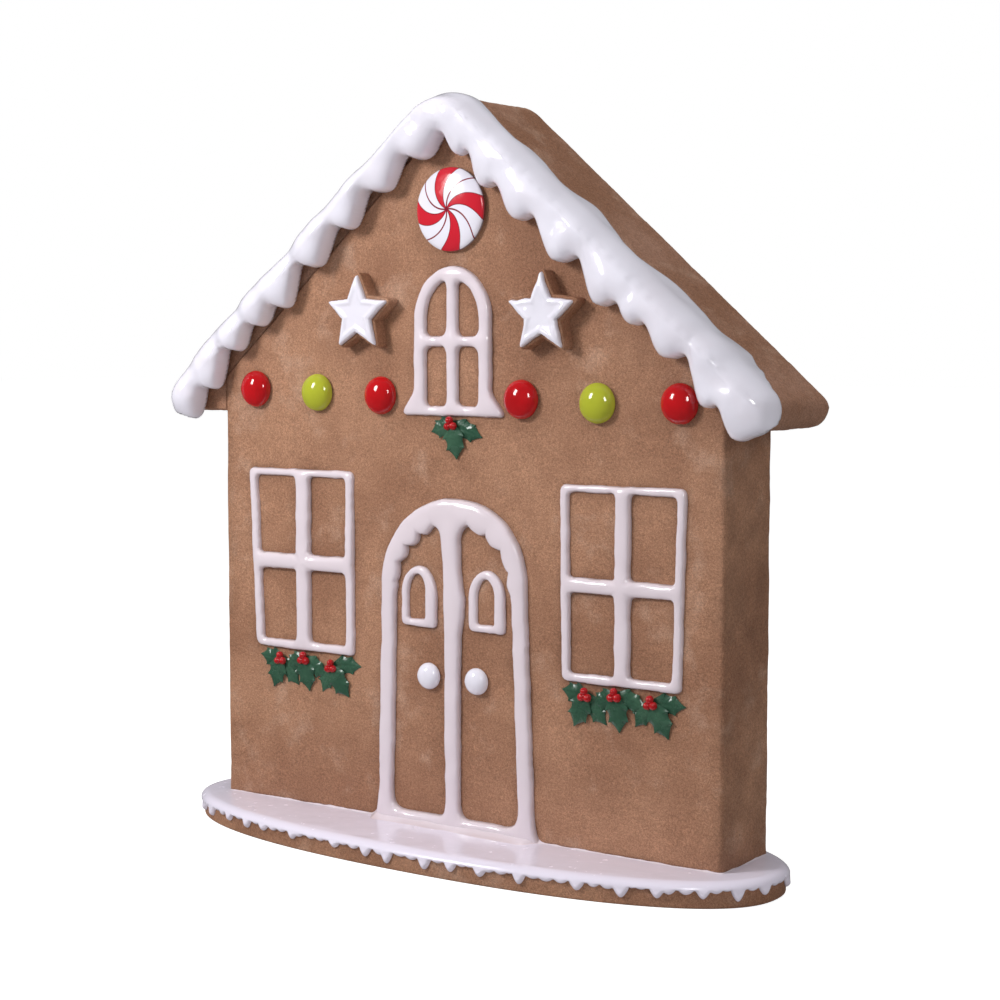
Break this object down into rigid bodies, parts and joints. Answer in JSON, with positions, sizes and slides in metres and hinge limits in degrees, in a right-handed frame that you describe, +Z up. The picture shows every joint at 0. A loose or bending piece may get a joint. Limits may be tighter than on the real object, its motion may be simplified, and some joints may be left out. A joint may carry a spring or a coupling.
{
  "type": "gingerbread house display figure",
  "caption": "Freestanding gingerbread house front in painted resin, with drip icing, sweets, icing windows and an arched double door, on an oval snow-covered base.",
  "frame": {"origin": "middle of the base's flat underside, on the surface it stands on", "axes": "+X to the right for someone who looks at the front, +Y from the front to the back, +Z up"},
  "size_m": [1.176, 0.404, 1.2083],
  "materials": {
    "gingerbread": "sandy matt gingerbread brown",
    "roof_gingerbread": "darker matt gingerbread brown",
    "icing": "glossy white icing, faintly lilac",
    "snow_icing": "satin white snow icing",
    "peppermint": "glossy white with red swirls",
    "red_sweet": "glossy red",
    "lime_sweet": "glossy lime green",
    "berry": "glossy red",
    "holly_leaf": "glossy dark green"
  },
  "bodies": {
    "root": {"base": "gingerbread", "base_icing": "snow_icing", "button_1": "red_sweet", "button_2": "lime_sweet", "button_3": "red_sweet", "button_4": "red_sweet", "button_5": "lime_sweet", "button_6": "red_sweet", "door_frame": "icing", "door_knob_left": "icing", "door_knob_right": "icing", "door_window_left": "icing", "door_window_right": "icing", "holly_left_1_berries": "berry", "holly_left_1_leaf_1": "holly_leaf", "holly_left_1_leaf_2": "holly_leaf", "holly_left_1_leaf_3": "holly_leaf", "holly_left_2_berries": "berry", "holly_left_2_leaf_1": "holly_leaf", "holly_left_2_leaf_2": "holly_leaf", "holly_left_2_leaf_3": "holly_leaf", "holly_left_3_berries": "berry", "holly_left_3_leaf_1": "holly_leaf", "holly_left_3_leaf_2": "holly_leaf", "holly_left_3_leaf_3": "holly_leaf", "holly_right_1_berries": "berry", "holly_right_1_leaf_1": "holly_leaf", "holly_right_1_leaf_2": "holly_leaf", "holly_right_1_leaf_3": "holly_leaf", "holly_right_2_berries": "berry", "holly_right_2_leaf_1": "holly_leaf", "holly_right_2_leaf_2": "holly_leaf", "holly_right_2_leaf_3": "holly_leaf", "holly_right_3_berries": "berry", "holly_right_3_leaf_1": "holly_leaf", "holly_right_3_leaf_2": "holly_leaf", "holly_right_3_leaf_3": "holly_leaf", "holly_upper_berries": "berry", "holly_upper_leaf_1": "holly_leaf", "holly_upper_leaf_2": "holly_leaf", "holly_upper_leaf_3": "holly_leaf", "left_window": "icing", "right_window": "icing", "upper_window": "icing", "peppermint": "peppermint", "roof": "roof_gingerbread", "roof_icing": "icing", "star_cookie_left": "gingerbread", "star_cookie_right": "gingerbread", "star_icing_left": "icing", "star_icing_right": "icing", "wall": "gingerbread"}
  },
  "joints": []
}
